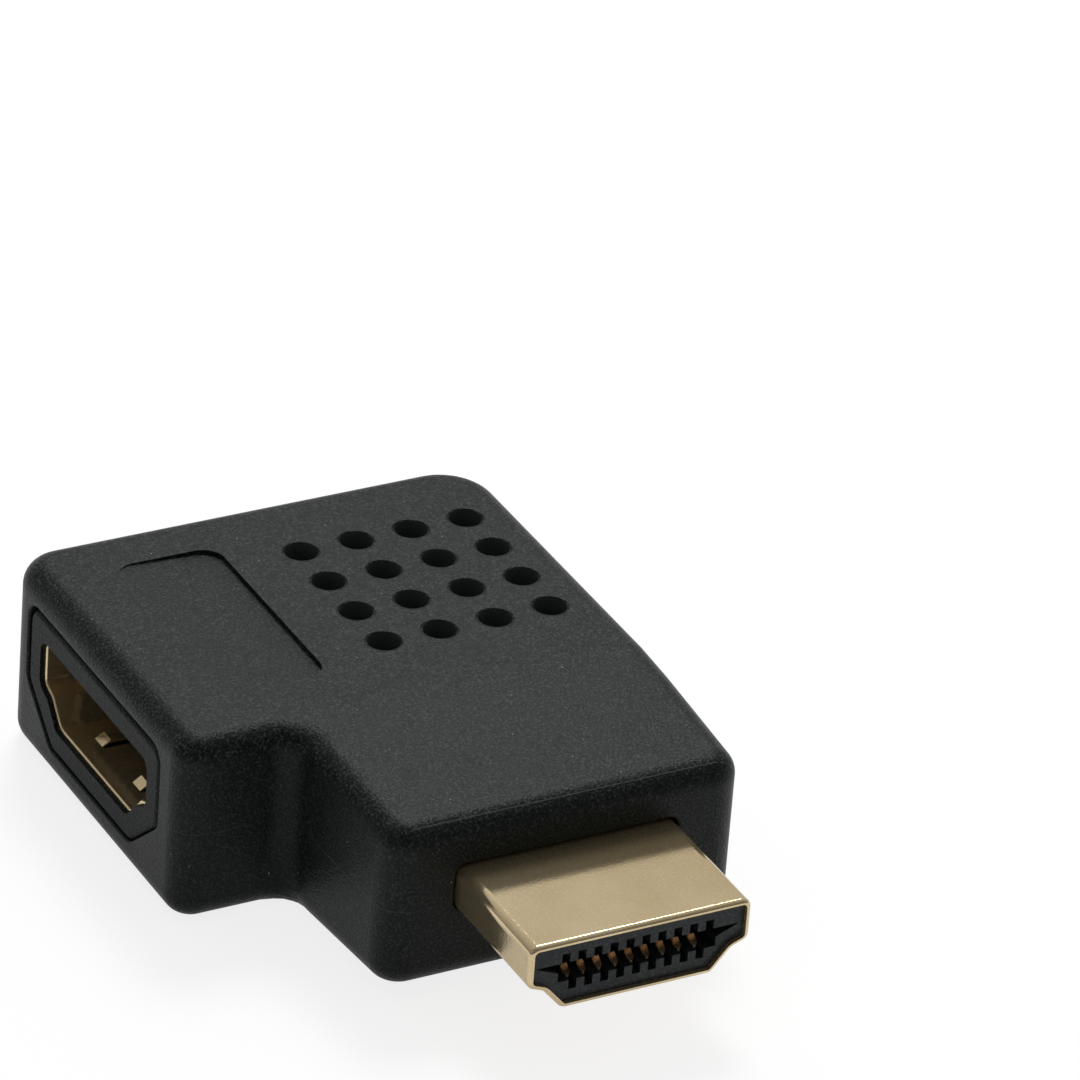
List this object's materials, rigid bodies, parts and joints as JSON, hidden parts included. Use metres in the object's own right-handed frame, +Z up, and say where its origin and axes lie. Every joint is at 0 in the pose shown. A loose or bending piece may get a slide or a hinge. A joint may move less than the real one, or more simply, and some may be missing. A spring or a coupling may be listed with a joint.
{
  "type": "right angle digital video adapter",
  "caption": "Right angle video adapter: black moulded housing with a stepped plan, a gold D-shaped plug at one end and a matching socket facing sideways, with a field of round vents on top.",
  "frame": {"origin": "on the plug's axis, in the face of the housing that the plug stands out of, half way up the housing", "axes": "the plug points along -Y, the socket opens towards -X, +Z is up, through the face with the vents"},
  "size_m": [0.03, 0.0438, 0.012],
  "materials": {
    "housing_plastic": "fine-grained black moulding",
    "bezel_plastic": "smooth black moulding",
    "gold_plate": "satin gold plate on drawn steel",
    "insulator_plastic": "black glass-filled moulding",
    "contact_gold": "bright gold plate on copper alloy",
    "board_laminate": "green circuit laminate"
  },
  "bodies": {
    "root": {"housing": "housing_plastic", "socket_bezel": "bezel_plastic", "socket_shell": "gold_plate", "plug_shell": "gold_plate", "plug_insulator": "insulator_plastic", "socket_insulator": "insulator_plastic", "circuit_board": "board_laminate", "plug_contact_01": "contact_gold", "plug_contact_02": "contact_gold", "plug_contact_03": "contact_gold", "plug_contact_04": "contact_gold", "plug_contact_05": "contact_gold", "plug_contact_06": "contact_gold", "plug_contact_07": "contact_gold", "plug_contact_08": "contact_gold", "plug_contact_09": "contact_gold", "plug_contact_10": "contact_gold", "plug_contact_11": "contact_gold", "plug_contact_12": "contact_gold", "plug_contact_13": "contact_gold", "plug_contact_14": "contact_gold", "plug_contact_15": "contact_gold", "plug_contact_16": "contact_gold", "plug_contact_17": "contact_gold", "plug_contact_18": "contact_gold", "plug_contact_19": "contact_gold", "socket_contact_01": "contact_gold", "socket_contact_02": "contact_gold", "socket_contact_03": "contact_gold", "socket_contact_04": "contact_gold", "socket_contact_05": "contact_gold", "socket_contact_06": "contact_gold", "socket_contact_07": "contact_gold", "socket_contact_08": "contact_gold", "socket_contact_09": "contact_gold", "socket_contact_10": "contact_gold", "socket_contact_11": "contact_gold", "socket_contact_12": "contact_gold", "socket_contact_13": "contact_gold", "socket_contact_14": "contact_gold", "socket_contact_15": "contact_gold", "socket_contact_16": "contact_gold", "socket_contact_17": "contact_gold", "socket_contact_18": "contact_gold", "socket_contact_19": "contact_gold"}
  },
  "joints": []
}
